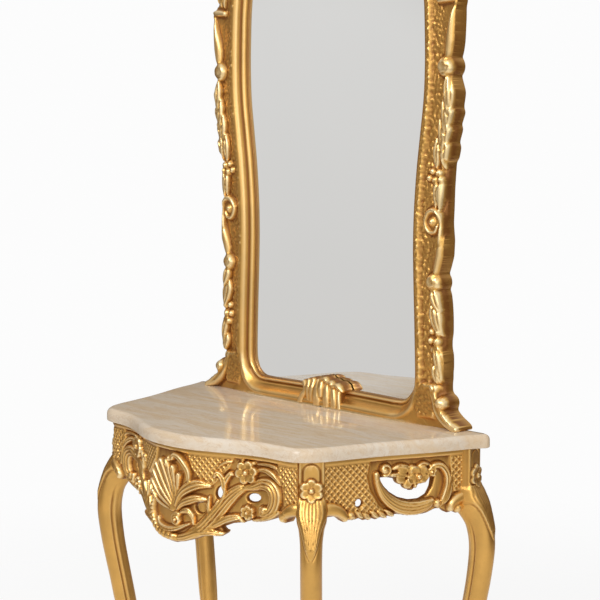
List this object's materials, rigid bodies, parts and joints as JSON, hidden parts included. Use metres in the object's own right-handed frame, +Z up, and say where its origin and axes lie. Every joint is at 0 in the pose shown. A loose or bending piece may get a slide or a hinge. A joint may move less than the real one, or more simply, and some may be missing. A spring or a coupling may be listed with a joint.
{
  "type": "console table with mirror",
  "caption": "Carved and gilded console table with a shaped marble top, carrying a tall arched mirror in a matching carved frame against the wall.",
  "frame": {"origin": "on the floor, in the middle of the bounding box of the whole object", "axes": "+X to the right seen from the front, -Y towards the viewer with the wall at +Y, +Z up"},
  "size_m": [1.041, 0.5242, 2.2],
  "materials": {
    "gilt": "water-gilded carved wood, burnished on the high places and worn in the hollows",
    "bare_wood": "planed, unfinished",
    "marble": "polished cream marble with fine brown veins",
    "mirror": "silvered glass",
    "board": "stained backing board",
    "steel": "zinc plated",
    "pad": "soft clear pad",
    "glide": "moulded"
  },
  "bodies": {
    "root": {"marble_top": "marble", "marble_pads": "pad", "front_apron": "gilt", "side_apron_right": "gilt", "side_apron_left": "gilt", "back_rail": "bare_wood", "apron_dowels": "bare_wood", "rail_screws": "steel", "leg_front_right": "gilt", "leg_front_left": "gilt", "leg_rear_right": "gilt", "leg_rear_left": "gilt", "foot_glides": "glide", "front_cartouche": "gilt", "apron_flowers": "gilt", "hanging_flowers": "gilt", "leg_rosettes": "gilt", "knee_brackets": "gilt", "corner_blocks": "bare_wood", "leg_bolts": "steel", "bolt_washers": "steel", "bolt_nuts": "steel", "bearer_right": "bare_wood", "bearer_left": "bare_wood", "bearer_cleats": "bare_wood", "cleat_screws": "steel", "mirror_base_rail": "gilt", "mirror_foot_right": "gilt", "mirror_foot_left": "gilt", "mirror_stile_right": "gilt", "mirror_stile_left": "gilt", "mirror_arch_right": "gilt", "mirror_arch_left": "gilt", "frame_keys": "bare_wood", "mirror_glass": "mirror", "backing_board": "board", "turn_buttons": "steel", "button_screws": "steel", "hanger_plates": "steel", "hanger_screws": "steel", "joining_plates": "steel", "joining_screws": "steel", "base_shell": "gilt", "toe_scrolls": "gilt", "stile_carving_right": "gilt", "stile_carving_left": "gilt", "arch_carvings": "gilt", "crest_shell": "gilt", "crest_scrolls": "gilt"}
  },
  "joints": []
}
